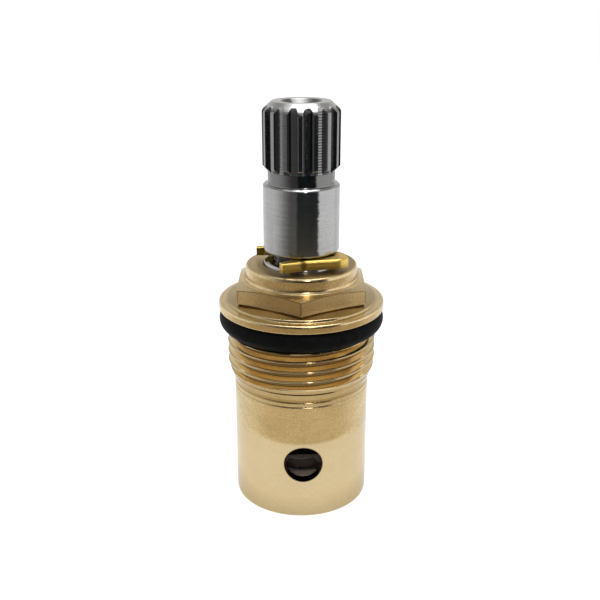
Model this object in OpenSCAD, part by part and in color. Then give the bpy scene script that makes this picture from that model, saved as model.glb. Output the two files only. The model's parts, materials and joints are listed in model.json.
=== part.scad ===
// Ceramic disc tap cartridge: brass body, splined stem, spring clip, ceramic discs and seals.
// The origin is the centre of the seat end, +Z runs up to the handle end, and a port faces -Y.

/* [Body] */
// Outside diameter of the lower sleeve
sleeve_d = 20.2; // [19.6:0.1:21]
// Length of the sleeve, from the seat end to the start of the thread's taper
sleeve_len = 19.2; // [18.8:0.1:24]
// Bore of the sleeve, which holds the discs
sleeve_bore_d = 17.2; // [16.9:0.1:17.6]
// Height of the disc chamber above its ports
chamber_head = 2; // [1:0.1:2.5]
// Major diameter of the valve thread
thread_d = 22; // [21.4:0.1:24]
// Length of the threaded zone, with its taper
thread_len = 7.5; // [5:0.1:10]
// Length of the taper that leads the thread in
thread_lead = 2.3; // [1:0.1:3]
// Room left under the flange ring in its relief
relief_room = 0.1; // [0.1:0.1:2]
// Diameter of the flange
flange_d = 24.3; // [23.6:0.1:28]
// Thickness of the flange
flange_t = 1.1; // [0.8:0.1:3]
// Diameter of the round step on the flange
step_d = 21.2; // [21.1:0.1:22]
// Height of the round step
step_h = 0.85; // [0.5:0.05:2]
// Width across the flats of the hexagon
hex_af = 18.2; // [17:0.1:18.2]
// Turn of the hexagon's corners from the ports
hex_turn = -2; // [-30:1:30]
// Height of the hexagon
hex_h = 2.45; // [1.5:0.05:8]
// Width of the flat land round the collar's foot
hex_land = 0.5; // [0.2:0.1:0.8]
// Diameter of the collar
collar_d = 16.26; // [15:0.1:16.8]
// Height of the collar
collar_h = 2.1; // [1.2:0.1:6]

/* [Ports] */
// Diameter of a water port
port_d = 5.6; // [4:0.1:6.5]
// Height of the ports' lower edge above the rotating disc
port_sill = 0.1; // [0.1:0.05:1]
// Number of water ports
port_count = 2; // [1:1:4]

/* [Stem] */
// Diameter of the stem in its bore, and of its shoulder
stem_d = 10.96; // [10.4:0.02:11.4]
// Running clearance of the stem in its bore, on the radius
stem_clear = 0.05; // [0.02:0.01:0.1]
// Room between the top of the collar and the clip
clip_rise = 0.8; // [0.5:0.1:2]
// Diameter at the bottom of the clip groove
groove_d = 7.8; // [7:0.1:9]
// Height of the shoulder above the clip groove
shoulder_h = 9.7; // [4:0.1:16]
// Diameter of the neck under the spline
neck_d = 9.54; // [8:0.02:9.6]
// Height of the neck
neck_h = 1.5; // [0.5:0.1:4]
// Diameter of the thrust flange
thrust_d = 14; // [13.4:0.1:14.2]
// Thickness of the thrust flange
thrust_t = 2.2; // [1.5:0.1:3]

/* [Spline] */
// Number of teeth
teeth = 16; // [12:1:20]
// Diameter over the teeth
spline_d = 10.92; // [10.6:0.02:11.2]
// Depth of a tooth
tooth_h = 0.72; // [0.4:0.02:0.8]
// Width of a tooth at its tip
tooth_tip = 0.9; // [0.5:0.05:0.95]
// Width of a tooth at its root
tooth_root = 1.1; // [1:0.05:1.3]
// Turn of the teeth from the front port when the tap is shut
spline_turn = -3; // [-11:1:11]
// Length of the spline, with both chamfers
spline_len = 9.75; // [6:0.05:14]
// Depth of the top chamfer, on the radius
spline_crown = 1.2; // [0.6:0.1:1.6]
// Tapping diameter of the handle screw hole
screw_d = 4.2; // [3.3:0.1:5]
// Depth of the handle screw hole
screw_depth = 12; // [8:0.5:18]
// Diameter of the countersink at its mouth
screw_mouth_d = 5.8; // [5.2:0.1:6.6]

/* [Clip] */
// Thickness of the clip
clip_t = 1.2; // [0.8:0.1:1.6]
// Width of the ring round the groove
clip_ring_w = 1.15; // [0.9:0.05:1.3]
// Width of the front arm and its tip
clip_w = 1.7; // [1.2:0.1:2]
// Room for the clip in its groove, each way
clip_clear = 0.15; // [0.1:0.05:0.3]
// Turn of the clip in its groove
clip_turn = -2; // [-45:1:45]
// Reach of the square end on the left, from the axis
ear_reach = 6.3; // [5.8:0.1:7]
// Width of the square end
ear_w = 1.3; // [0.9:0.1:1.6]
// Slope of the front arm
arm_turn = 6; // [0:1:12]
// Length of the front arm
arm_len = 5; // [3.5:0.1:5.2]
// Step of the tip out from the front arm
tip_step = 1.05; // [0.4:0.05:1.2]
// Length of the flared tip
tip_len = 2.5; // [1:0.1:2.8]
// Flare of the tip
tip_flare = 11; // [0:1:20]

/* [Drive] */
// Thickness of the tang that turns the disc
tang_t = 4; // [3:0.1:4.4]
// Width of the tang
tang_w = 10.5; // [9:0.1:12]
// Depth of the tang's slot in the rotating disc
slot_depth = 1.1; // [0.8:0.1:1.3]
// Play of the tang in its slot, each side
slot_clear = 0.1; // [0.05:0.05:0.2]
// Turn of the stem from closed to open
quarter_turn = 90; // [60:5:90]
// Width of the stop lug, as an angle
lug_angle = 40; // [30:1:50]
// Reach of the stop lug beyond the thrust flange
lug_reach = 1.2; // [0.8:0.1:1.2]
// Room left at each stop and round the stop lug
stop_clear = 0.3; // [0.2:0.05:0.4]

/* [Discs] */
// Thickness of the fixed disc
fixed_t = 1.8; // [1.4:0.1:2.2]
// Thickness of the rotating disc
rotating_t = 1.85; // [1.6:0.05:2.4]
// Room of the rotating disc in the sleeve, on the radius
disc_clear = 0.3; // [0.2:0.05:0.5]
// Film between the lapped faces
disc_film = 0.02; // [0.01:0.01:0.05]
// Inner radius of a flow window
window_in = 3.3; // [3.2:0.1:4]
// Outer radius of a flow window
window_out = 6.8; // [5.5:0.1:7]
// Width of a flow window, as an angle
window_angle = 64; // [40:1:70]
// Width of a keying lug on the fixed disc
key_w = 3; // [2:0.1:4]
// Reach of a keying lug into the sleeve's wall
key_reach = 0.7; // [0.4:0.05:0.9]

/* [Seals] */
// Section of the flange ring
flange_ring_section = 3.2; // [2.4:0.1:3.4]
// Depth of the flange ring inside the rim of the flange
flange_ring_inset = 0; // [0:0.1:0.4]
// Section of a stem ring
stem_ring_section = 1.78; // [1.5:0.02:2]
// Height of the lower stem ring above the thrust washer
stem_ring_lift = 4; // [2:0.5:6]
// Distance between the two stem rings
stem_ring_pitch = 5; // [3:0.5:7]
// Thickness of the thrust washer
washer_t = 0.8; // [0.5:0.1:1.2]
// Thickness of the seat seal
seal_t = 1.9; // [1.4:0.1:2.4]
// Width of the seat seal's rubber, on the radius
seal_w = 1.75; // [1.2:0.05:2]
// Width of the support ring inside it
support_w = 0.8; // [0.5:0.05:1.2]
// Depth of the seal inside the seat end
seal_inset = 0.2; // [0.1:0.1:0.6]

/* [Hidden] */
$fn = 96;
// Small gap between seated pieces of one body
seat = 0.02;
// Edge breaks on turned corners
edge = 0.2;
fine_edge = 0.12;
// Slope of the hexagon's top chamfer, and the cove under the step
hex_chamfer_angle = 11;
cove_r = 0.5;
// Overlap of a cut past the face it opens
past = 1;
// Fine turned lines, measured up from the start of the taper
line_rises = [-1.25, -0.53, 0.9];
line_depth = 0.1;

// Heights of the body, from the seat end
z_taper = sleeve_len;
z_relief = z_taper + thread_len;
z_flange = z_relief + flange_ring_section + relief_room;
z_step = z_flange + flange_t;
z_hex = z_step + step_h;
z_collar = z_hex + hex_h;
z_top = z_collar + collar_h;
relief_d = flange_d - 2 * (flange_ring_section + flange_ring_inset + seat);
hex_corner_r = hex_af / sqrt(3);
hex_land_r = collar_d / 2 + hex_land;
hex_chamfer_r = hex_corner_r + edge;
hex_chamfer_h = (hex_chamfer_r - hex_land_r) * tan(hex_chamfer_angle);

// Heights of the discs and the drive
z_fixed = seal_inset + seal_t;
z_rotating = z_fixed + fixed_t + disc_film;
z_disc_top = z_rotating + rotating_t;
z_tang = z_disc_top - slot_depth + slot_clear;
port_z = z_disc_top + port_sill + port_d / 2;
chamber_len = port_z + port_d / 2 + chamber_head;
z_thrust = chamber_len + stop_clear;
z_washer = z_thrust + thrust_t + seat;
z_shoulder = z_washer + washer_t + seat;
pocket_d = thrust_d + 2 * stop_clear;
lug_r = thrust_d / 2 + lug_reach;
stop_r = lug_r + stop_clear;
stop_slack = stop_clear / (thrust_d / 2) * 180 / PI;

// Heights of the stem
z_groove = z_top + clip_rise - clip_clear;
groove_h = clip_t + 2 * clip_clear;
z_under = z_groove + groove_h;
z_neck = z_under + shoulder_h;
z_spline = z_neck + neck_h;
z_end = z_spline + spline_len;
spline_root_d = spline_d - 2 * tooth_h;
bore_d = stem_d + 2 * stem_clear;
ring_root_d = bore_d - 2 * stem_ring_section - 2 * seat;
ring_groove_h = stem_ring_section + 4 * seat;
z_ring_lower = z_shoulder + stem_ring_lift;
z_ring_upper = z_ring_lower + stem_ring_pitch;

// Plan of the clip
z_clip = z_groove + clip_clear;
clip_in = groove_d / 2 + clip_clear;
clip_out = clip_in + clip_ring_w;
arm_mid = clip_in + clip_w / 2 + edge / 2;
clip_end_angle = 165;
clip_side_angle = -14;
ear_y = 0.7;
tip_run = 0.9;
clip_side = (clip_in + clip_out) / 2 * [cos(clip_side_angle), sin(clip_side_angle)];
arm_kink = arm_mid * [sin(arm_turn), -cos(arm_turn)];
arm_corner = arm_kink + arm_len * [cos(arm_turn), sin(arm_turn)];
tip_root = arm_kink - [tip_run, tip_step];
arm_tip = tip_root - tip_len * [cos(tip_flare), sin(tip_flare)];

// Flow windows and keys
rotating_r = sleeve_bore_d / 2 - disc_clear;
fixed_r = sleeve_bore_d / 2 - seat;
key_r = sleeve_bore_d / 2 + key_reach;
seal_out = sleeve_bore_d / 2 - seat;
seal_in = seal_out - seal_w;
support_out = seal_in - seat;

// Flat sector of a disc from angle a to angle b, out to radius r
module sector(r, a, b) {
    steps = ceil((b - a) / 45);
    far = 2 * r;
    intersection() {
        circle(r);
        polygon(concat([[0, 0]], [for (i = [0:steps])
            let (t = a + (b - a) * i / steps) far * [cos(t), sin(t)]]));
    }
}

// Flat ring from radius r_in to radius r_out
module ring(r_in, r_out) {
    difference() {
        circle(r_out);
        circle(r_in);
    }
}

// Straight bar of width w between two points, with round ends
module bar(p, q, w) {
    run = q - p;
    translate(p) rotate(atan2(run[1], run[0])) translate([0, -w / 2]) square([norm(run), w]);
    translate(p) circle(d = w);
}

// Round ring of a given section, seated on a root diameter
module o_ring(root_d, section) {
    rotate_extrude() translate([root_d / 2 + section / 2, 0]) circle(d = section, $fn = 48);
}

// Outside of the turned body below the hexagon, and its collar
module body_turning() {
    sleeve_r = sleeve_d / 2;
    thread_r = thread_d / 2;
    flange_r = flange_d / 2;
    step_r = step_d / 2;
    collar_r = collar_d / 2;
    rotate_extrude() polygon([
        [0, 0],
        [sleeve_r - fine_edge, 0],
        [sleeve_r, fine_edge],
        [sleeve_r, z_taper],
        [thread_r, z_taper + thread_lead],
        [thread_r, z_relief - edge],
        [thread_r - edge, z_relief],
        [relief_d / 2, z_relief],
        [relief_d / 2, z_flange],
        [flange_r - fine_edge, z_flange],
        [flange_r, z_flange + fine_edge],
        [flange_r, z_step - edge],
        [flange_r - edge, z_step],
        [step_r + cove_r, z_step],
        [step_r, z_step + cove_r],
        [step_r, z_hex],
        [collar_r, z_hex],
        [collar_r, z_top - edge],
        [collar_r - edge, z_top],
        [0, z_top]
    ]);
}

// Hexagon with a corner near each port, turned to a cone on top
module body_hexagon() {
    intersection() {
        translate([0, 0, z_hex - seat]) rotate(90 + hex_turn)
            cylinder(r = hex_corner_r, h = hex_h + seat, $fn = 6);
        union() {
            cylinder(r = hex_corner_r + past, h = z_collar - hex_chamfer_h);
            translate([0, 0, z_collar - hex_chamfer_h])
                cylinder(r1 = hex_chamfer_r, r2 = hex_land_r, h = hex_chamfer_h);
        }
    }
}

// Inside of the body: disc chamber, thrust pocket, stop pocket, stem bore and key slots
module body_cavity() {
    translate([0, 0, -past]) cylinder(d = sleeve_bore_d, h = chamber_len + past);
    cylinder(d = pocket_d, h = z_shoulder);
    cylinder(d = bore_d, h = z_top + past);
    translate([0, 0, chamber_len - seat]) linear_extrude(z_washer - chamber_len + stop_clear)
        sector(stop_r, -lug_angle / 2 - stop_slack, quarter_turn + lug_angle / 2 + stop_slack);
    translate([0, 0, -past]) linear_extrude(z_fixed + fixed_t + seat + past) key_plan(seat);
}

// Plan of the keying lugs across the fixed disc, with room round them
module key_plan(room) {
    square([2 * (key_r + room), key_w + 2 * room], center = true);
}

// Water ports drilled through the sleeve's wall
module port_holes() {
    for (i = [0:port_count - 1])
        translate([0, 0, port_z]) rotate(i * 360 / port_count - 90) rotate([0, 90, 0])
            cylinder(d = port_d, h = sleeve_d);
}

// Fine turned lines round the top of the sleeve and the foot of the taper
module turned_lines() {
    taper = (thread_d - sleeve_d) / 2 / thread_lead;
    for (rise = line_rises)
        translate([0, 0, z_taper + rise]) rotate_extrude()
            translate([sleeve_d / 2 + taper * max(rise, 0), 0]) polygon([
                [-line_depth, 0],
                [line_depth, 2 * line_depth],
                [line_depth, -2 * line_depth]
            ]);
}

module bonnet_body() {
    color([0.72, 0.57, 0.33]) difference() {
        union() {
            body_turning();
            body_hexagon();
        }
        body_cavity();
        port_holes();
        turned_lines();
    }
}

// Handle end of the stem: teeth cut along it, a long crown chamfer and a short one below
module stem_spline() {
    spline_r = spline_d / 2;
    root_r = spline_root_d / 2;
    translate([0, 0, z_spline]) intersection() {
        linear_extrude(spline_len) union() {
            circle(root_r);
            for (i = [0:teeth - 1]) rotate(i * 360 / teeth - 90 + spline_turn) polygon([
                [root_r / 2, -tooth_root / 2],
                [root_r, -tooth_root / 2],
                [spline_r, -tooth_tip / 2],
                [spline_r + past, -tooth_tip / 2],
                [spline_r + past, tooth_tip / 2],
                [spline_r, tooth_tip / 2],
                [root_r, tooth_root / 2],
                [root_r / 2, tooth_root / 2]
            ]);
        }
        rotate_extrude() polygon([
            [0, 0],
            [root_r, 0],
            [spline_r, tooth_h],
            [spline_r, spline_len - 1.25 * spline_crown],
            [spline_r - spline_crown + edge, spline_len - edge],
            [spline_r - spline_crown, spline_len],
            [0, spline_len]
        ]);
    }
}

// Turned stem from the thrust flange up to the neck, with its grooves
module stem_turning() {
    stem_r = stem_d / 2;
    ring_r = ring_root_d / 2;
    rotate_extrude() polygon(concat(
        [[0, z_thrust], [thrust_d / 2, z_thrust], [thrust_d / 2, z_thrust + thrust_t],
            [stem_r, z_thrust + thrust_t]],
        [for (z = [z_ring_lower, z_ring_upper]) each [[stem_r, z], [ring_r, z],
            [ring_r, z + ring_groove_h], [stem_r, z + ring_groove_h]]],
        [[stem_r, z_groove - 2 * edge], [stem_r - 2 * edge, z_groove], [groove_d / 2, z_groove],
            [groove_d / 2, z_under], [stem_r - edge, z_under], [stem_r, z_under + edge],
            [stem_r, z_neck - edge], [stem_r - edge, z_neck], [neck_d / 2, z_neck],
            [neck_d / 2, z_spline + seat], [0, z_spline + seat]]
    ));
}

// Stop lug on the rim of the thrust flange
module stop_lug() {
    translate([0, 0, z_thrust]) linear_extrude(thrust_t)
        sector(lug_r, -lug_angle / 2, lug_angle / 2);
}

// Flat tang milled from the round, which turns the disc
module drive_tang() {
    translate([0, 0, z_tang]) linear_extrude(z_thrust - z_tang + seat) intersection() {
        circle(d = tang_w);
        square([tang_w, tang_t], center = true);
    }
}

module stem() {
    mouth_h = (screw_mouth_d - screw_d) / 2;
    color([0.72, 0.72, 0.73]) difference() {
        union() {
            stem_spline();
            stem_turning();
            stop_lug();
            drive_tang();
        }
        translate([0, 0, z_end - screw_depth]) cylinder(d = screw_d, h = screw_depth + past);
        translate([0, 0, z_end - mouth_h])
            cylinder(d1 = screw_d, d2 = screw_mouth_d + 2 * past, h = mouth_h + past);
    }
}

// Unit vector along v, the vector to its left, and the edge offset of a strip that bends from u to v
function unit(v) = v / norm(v);
function left_of(v) = [-v[1], v[0]];
function bend(u, v) = (left_of(u) + left_of(v)) / (1 + left_of(u) * left_of(v));

// Front arm of the clip, which steps out to the flared tip
module front_arm() {
    path = [arm_corner, arm_kink, tip_root, arm_tip];
    runs = [for (i = [0:2]) unit(path[i + 1] - path[i])];
    sides = [left_of(runs[0]), bend(runs[0], runs[1]), bend(runs[1], runs[2]), left_of(runs[2])];
    polygon(concat([for (i = [0:3]) path[i] - clip_w / 2 * sides[i]],
        [for (i = [3:-1:0]) path[i] + clip_w / 2 * sides[i]]));
    translate(arm_corner) circle(d = clip_w);
}

// Plan of the clip: an open ring with a square end, and a front arm with a flared tip
module clip_plan() {
    difference() {
        union() {
            intersection() {
                ring(clip_in, clip_out);
                sector(clip_out + past, clip_side_angle, clip_end_angle);
            }
            translate([-ear_reach, ear_y]) square([ear_reach - clip_in / 2, ear_w]);
            bar(clip_side, arm_corner, clip_w);
            front_arm();
        }
        circle(clip_in);
    }
}

module retaining_clip() {
    color([0.80, 0.64, 0.22]) translate([0, 0, z_clip]) rotate(clip_turn)
        linear_extrude(clip_t) clip_plan();
}

module flange_o_ring() {
    color([0.06, 0.06, 0.06]) translate([0, 0, z_flange - flange_ring_section / 2 - seat])
        o_ring(relief_d + 2 * seat, flange_ring_section);
}

// Stem ring in its groove, seated on the groove's lower face
module stem_o_ring(z) {
    color([0.08, 0.08, 0.08]) translate([0, 0, z + stem_ring_section / 2 + seat])
        o_ring(ring_root_d + seat, stem_ring_section);
}

module stem_o_ring_upper() {
    stem_o_ring(z_ring_upper);
}

module stem_o_ring_lower() {
    stem_o_ring(z_ring_lower);
}

module thrust_washer() {
    color([0.92, 0.92, 0.90]) translate([0, 0, z_washer]) linear_extrude(washer_t)
        ring(bore_d / 2 + stop_clear, pocket_d / 2 - seat);
}

// Two flow windows opposite each other, the first at angle a
module flow_windows(a) {
    for (side = [0, 180]) rotate(a + side) difference() {
        sector(window_out, -window_angle / 2, window_angle / 2);
        circle(window_in);
    }
}

module rotating_disc() {
    color([0.16, 0.16, 0.17]) translate([0, 0, z_rotating]) difference() {
        linear_extrude(rotating_t) difference() {
            circle(rotating_r);
            flow_windows(90);
        }
        translate([0, 0, rotating_t - slot_depth]) linear_extrude(slot_depth + past) intersection() {
            circle(d = tang_w + 2 * slot_clear);
            square([tang_w + past, tang_t + 2 * slot_clear], center = true);
        }
    }
}

module fixed_disc() {
    color([0.93, 0.92, 0.88]) translate([0, 0, z_fixed]) linear_extrude(fixed_t) difference() {
        union() {
            circle(fixed_r);
            key_plan(0);
        }
        flow_windows(0);
    }
}

module seat_seal() {
    color([0.07, 0.07, 0.07]) translate([0, 0, seal_inset]) linear_extrude(seal_t)
        ring(seal_in, seal_out);
}

module seal_support_ring() {
    color([0.85, 0.85, 0.83]) translate([0, 0, seal_inset]) linear_extrude(seal_t)
        ring(support_out - support_w, support_out);
}

bonnet_body();
stem();
retaining_clip();
flange_o_ring();
stem_o_ring_upper();
stem_o_ring_lower();
thrust_washer();
rotating_disc();
fixed_disc();
seat_seal();
seal_support_ring();
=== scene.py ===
"""Ceramic disc tap cartridge: finish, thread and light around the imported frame."""
import json
from math import asin, atan2, cos, pi, radians, sin, tan

import bmesh
import bpy
from mathutils import Matrix, Vector


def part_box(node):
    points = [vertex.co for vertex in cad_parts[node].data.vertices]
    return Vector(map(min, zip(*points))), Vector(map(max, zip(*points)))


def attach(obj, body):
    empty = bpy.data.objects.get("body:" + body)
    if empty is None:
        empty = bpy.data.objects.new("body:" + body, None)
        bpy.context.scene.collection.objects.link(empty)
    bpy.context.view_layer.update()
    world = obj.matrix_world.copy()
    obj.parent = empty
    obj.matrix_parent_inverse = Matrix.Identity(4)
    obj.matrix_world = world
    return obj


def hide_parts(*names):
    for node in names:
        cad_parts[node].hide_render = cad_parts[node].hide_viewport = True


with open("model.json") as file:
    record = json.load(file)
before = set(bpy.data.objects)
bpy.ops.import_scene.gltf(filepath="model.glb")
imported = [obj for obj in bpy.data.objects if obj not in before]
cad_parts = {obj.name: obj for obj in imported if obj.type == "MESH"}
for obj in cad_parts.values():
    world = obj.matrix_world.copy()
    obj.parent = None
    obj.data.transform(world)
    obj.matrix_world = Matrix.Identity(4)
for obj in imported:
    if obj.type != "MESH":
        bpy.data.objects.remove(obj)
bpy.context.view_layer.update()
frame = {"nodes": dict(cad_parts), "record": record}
record = frame["record"]
nodes = frame["nodes"]
MM = 0.001

# Heights and sizes in millimetres, read from the frame
SEAT_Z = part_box("bonnet_body")[0][2] / MM
COLLAR_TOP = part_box("bonnet_body")[1][2] / MM
FLANGE_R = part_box("bonnet_body")[1][1] / MM
STEM_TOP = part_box("stem")[1][2] / MM
TANG_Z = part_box("stem")[0][2] / MM
CLIP_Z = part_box("retaining_clip")[0][2] / MM
CLIP_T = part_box("retaining_clip")[1][2] / MM - CLIP_Z
RING_Z = (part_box("flange_o_ring")[0][2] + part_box("flange_o_ring")[1][2]) / 2 / MM
RING_SECTION = (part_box("flange_o_ring")[1][2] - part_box("flange_o_ring")[0][2]) / MM
RING_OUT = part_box("flange_o_ring")[1][1] / MM
DISC_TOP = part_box("rotating_disc")[1][2] / MM
mounts = {mount["name"]: mount for mount in record["mounts"]}
THREAD_R = mounts["valve_thread"]["dims"]["r_mm"]
STEM_R = mounts["handle_shoulder"]["dims"]["r_mm"]
SCREW_R = mounts["handle_screw"]["dims"]["r_mm"]
PORT_R = mounts["outlet_port_front"]["dims"]["r_mm"]
PORT_Z = mounts["outlet_port_front"]["pos_m"][2] / MM

# Body sizes in millimetres
SLEEVE_R = 10.1
SLEEVE_BORE_R = 8.6
CHAMBER_Z = PORT_Z + PORT_R + 2
POCKET_R = 7.3
SHOULDER_Z = CHAMBER_Z + 3.34
STEM_BORE_R = STEM_R + 0.05
TAPER_Z = SEAT_Z + 19.2
TAPER_TOP_Z = TAPER_Z + 2.3
RELIEF_Z = TAPER_Z + 7.5
RELIEF_R = RING_OUT - RING_SECTION - 0.02
FLANGE_Z = RELIEF_Z + 3.3
FLANGE_TOP_Z = FLANGE_Z + 1.1
STEP_R = 10.6
HEX_Z = FLANGE_TOP_Z + 0.85
HEX_TOP_Z = HEX_Z + 2.45
HEX_FLAT_R = 9.1
HEX_LAND_R = 8.63
HEX_SLOPE = tan(radians(15))
COLLAR_R = 8.13
HEX_TURN = radians(-2)
HEX_DROOP = 0.12
# Top of the painted sheen on the sleeve round the ports
SLEEVE_SHEEN_Z = PORT_Z + 3.5
LINE_RISES = (-1.25, -0.53, 0.9)
LINE_DEPTH = 0.1
LINE_HALF = 0.13

# Thread sizes
PITCH = 1.5
THREAD_DEPTH = 0.92
CREST_ROUND = 0.12
ROOT_HALF = 0.07
THREAD_FADE = (1.05, 1.7)
THREAD_TOP_FADE = 0.6

# Stem sizes
GROOVE_R = 3.9
GROOVE_Z = CLIP_Z - 0.15
UNDER_Z = CLIP_Z + CLIP_T + 0.15
NECK_Z = UNDER_Z + 9.7
NECK_R = 4.77
SPLINE_Z = NECK_Z + 1.72
SPLINE_R = 5.46
SPLINE_ROOT_R = 4.74
SPLINE_CROWN = 1.32
TEETH = 16
SPLINE_TURN = radians(-3)
TOOTH_TIP = 0.15
TOOTH_ROOT = 0.295
MARK_STEP = 0.37
MARK_X = 2.55
CROWN_SLOPE = 1.12
CROWN_ROUND = 0.3
SCREW_MOUTH_R = 2.9
SCREW_DEPTH = 12
THRUST_Z = CHAMBER_Z + 0.3
THRUST_T = 2.2
THRUST_R = 7.0
TANG_HALF_T = 2.0
TANG_R = 5.25

BODY_COLUMNS = 240
FRONT = HEX_TURN - pi / 2
SHARP_ANGLE = radians(28)


# Mesh helpers, all in millimetres
def rounded(profile, steps=4):
    """Points (r, z) of a turned profile of (r, z, fillet radius) corners.

    A point close beside each fillet keeps the shading of the straight walls flat.
    """
    points = []
    for i, (r, z, fillet) in enumerate(profile):
        corner = Vector((r, z))
        if fillet == 0 or i in (0, len(profile) - 1):
            points.append((r, z))
            continue
        before = Vector(profile[i - 1][:2]) - corner
        after = Vector(profile[i + 1][:2]) - corner
        reach = min(fillet, before.length * 0.45, after.length * 0.45)
        start = corner + before.normalized() * reach
        end = corner + after.normalized() * reach
        if before.length > 0.3:
            points.append(tuple(start + before.normalized() * 0.02))
        for k in range(steps + 1):
            t = k / steps
            p = start * (1 - t) ** 2 + corner * 2 * t * (1 - t) + end * t ** 2
            points.append((p.x, p.y))
        if after.length > 0.3:
            points.append(tuple(end + after.normalized() * 0.02))
    return points


def ring(angles, r, z):
    """One ring of points; r and z may be numbers or functions of the angle."""
    points = []
    for a in angles:
        radius = r(a) if callable(r) else r
        height = z(a) if callable(z) else z
        points.append((radius * cos(a), radius * sin(a), height))
    return points


def add_rows(bm, rows, close=False):
    """Quads between rings of points, joined end to end when close is set."""
    loops = [[bm.verts.new([c * MM for c in p]) for p in row] for row in rows]
    if close:
        loops.append(loops[0])
    for low, high in zip(loops, loops[1:]):
        count = len(low)
        for i in range(count):
            j = (i + 1) % count
            bm.faces.new((low[i], low[j], high[j], high[i]))
    return loops


def finish_mesh(bm, name, merge=1e-7):
    """A smooth-shaded object from a bmesh, with sharp edges marked by angle."""
    bmesh.ops.remove_doubles(bm, verts=bm.verts, dist=merge)
    bmesh.ops.dissolve_degenerate(bm, edges=bm.edges, dist=merge)
    bmesh.ops.recalc_face_normals(bm, faces=bm.faces)
    mesh = bpy.data.meshes.new(name)
    bm.to_mesh(mesh)
    bm.free()
    mesh.polygons.foreach_set("use_smooth", [True] * len(mesh.polygons))
    mesh.set_sharp_from_angle(angle=SHARP_ANGLE)
    piece = bpy.data.objects.new(name, mesh)
    bpy.context.scene.collection.objects.link(piece)
    return piece


def turned_angles(count):
    """Evenly spaced angles that start at the front corner, so hexagon corners fall on a column."""
    return [FRONT + 2 * pi * i / count for i in range(count)]


# Body
def hex_radius(a):
    """Radius of the hexagon, with a corner near the front port."""
    phase = (a - FRONT) % (pi / 3) - pi / 6
    return HEX_FLAT_R / cos(phase)


def hex_top(a):
    """Height at which the conical top chamfer meets the hexagon's side."""
    return HEX_TOP_Z - (hex_radius(a) - HEX_LAND_R) * HEX_SLOPE


def hex_foot(a, lift):
    """Height of the hexagon's foot, which follows the conical step down at the corners."""
    return HEX_Z + lift - (hex_radius(a) - HEX_FLAT_R) * HEX_DROOP


def line_depth(z):
    """Depth of the fine turned lines at a height."""
    nearest = min(abs(z - TAPER_Z - rise) for rise in LINE_RISES)
    return LINE_DEPTH * max(0, 1 - nearest / LINE_HALF)


def thread_envelope(z):
    """Largest radius of the threaded zone, with its long lead-in taper and top chamfer."""
    taper = SLEEVE_R + (THREAD_R - SLEEVE_R) * (z - TAPER_Z) / (TAPER_TOP_Z - TAPER_Z)
    chamfer = THREAD_R - 0.35 + (RELIEF_Z - z)
    return max(SLEEVE_R, min(THREAD_R, taper, chamfer)) - line_depth(z)


def thread_profile(u):
    """Radius of the thread at phase u of a pitch, its rounded crest at 0."""
    distance = abs((u + 0.5) % 1 - 0.5)
    steep = THREAD_DEPTH / (0.5 - ROOT_HALF - CREST_ROUND / 2)
    if distance < CREST_ROUND:
        return THREAD_R - steep * distance ** 2 / (2 * CREST_ROUND)
    return THREAD_R - min(steep * (distance - CREST_ROUND / 2), THREAD_DEPTH)


def thread_radius(a, z):
    """Radius of the threaded zone; the thread runs out on the taper and at the relief."""
    u = (z - TAPER_Z) / PITCH - (a - FRONT) / (2 * pi)
    t = min(max((z - TAPER_Z - THREAD_FADE[0]) / (THREAD_FADE[1] - THREAD_FADE[0]), 0), 1)
    top = min(max((RELIEF_Z - z) / THREAD_TOP_FADE, 0), 1)
    fade = t * t * (3 - 2 * t) * top * top * (3 - 2 * top)
    envelope = thread_envelope(z)
    return envelope - fade * max(0, envelope - thread_profile(u))


def add_taper(bm, angles):
    """Plain rings of the taper's foot, with the upper turned line."""
    rises = sorted([0.0, THREAD_FADE[0]] + [rise + side * LINE_HALF for rise in LINE_RISES if rise > 0
                                            for side in (-1, -0.6, -0.2, 0, 0.2, 0.6, 1)])
    add_rows(bm, [ring(angles, thread_envelope(TAPER_Z + rise), TAPER_Z + rise) for rise in rises])


def add_thread(bm, angles):
    """Quads along the helix from the taper to the relief, cut off level at both ends."""
    breaks = [CREST_ROUND * i / 4 for i in range(-4, 5)]
    breaks += [0.2, 0.3, *(0.5 + ROOT_HALF * side for side in (-1, -0.4, 0.4, 1)), 0.7, 0.8]
    low, high = TAPER_Z + THREAD_FADE[0], RELIEF_Z
    turns = int((high - TAPER_Z) / PITCH) + 3
    per_turn = len(breaks)
    columns = len(angles)

    def point(row, column):
        turn, index = divmod(row, per_turn)
        a = angles[column % columns]
        z = TAPER_Z + PITCH * (turn - 2 + breaks[index] + column / columns)
        z = min(max(z, low), high)
        r = thread_radius(a, z)
        return bm.verts.new((r * cos(a) * MM, r * sin(a) * MM, z * MM))

    rows = turns * per_turn
    grid = [[point(row, column) for column in range(columns + 1)] for row in range(rows)]
    for near, far in zip(grid, grid[1:]):
        for i in range(columns):
            quad = (near[i], near[i + 1], far[i + 1], far[i])
            if max(v.co.z for v in quad) - min(v.co.z for v in quad) > 1e-9:
                bm.faces.new(quad)


def sleeve_profile():
    """Seat end and sleeve up to the thread's taper, with its fine turned lines."""
    points = [(SLEEVE_BORE_R, SEAT_Z, 0), (SLEEVE_R, SEAT_Z, 0.12)]
    for rise in LINE_RISES:
        z = TAPER_Z + rise
        if rise < 0:
            points += [(SLEEVE_R, z - LINE_HALF, 0.03), (SLEEVE_R - LINE_DEPTH, z, 0.03),
                       (SLEEVE_R, z + LINE_HALF, 0.03)]
    points.append((SLEEVE_R, TAPER_Z, 0))
    return rounded(points)


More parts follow.
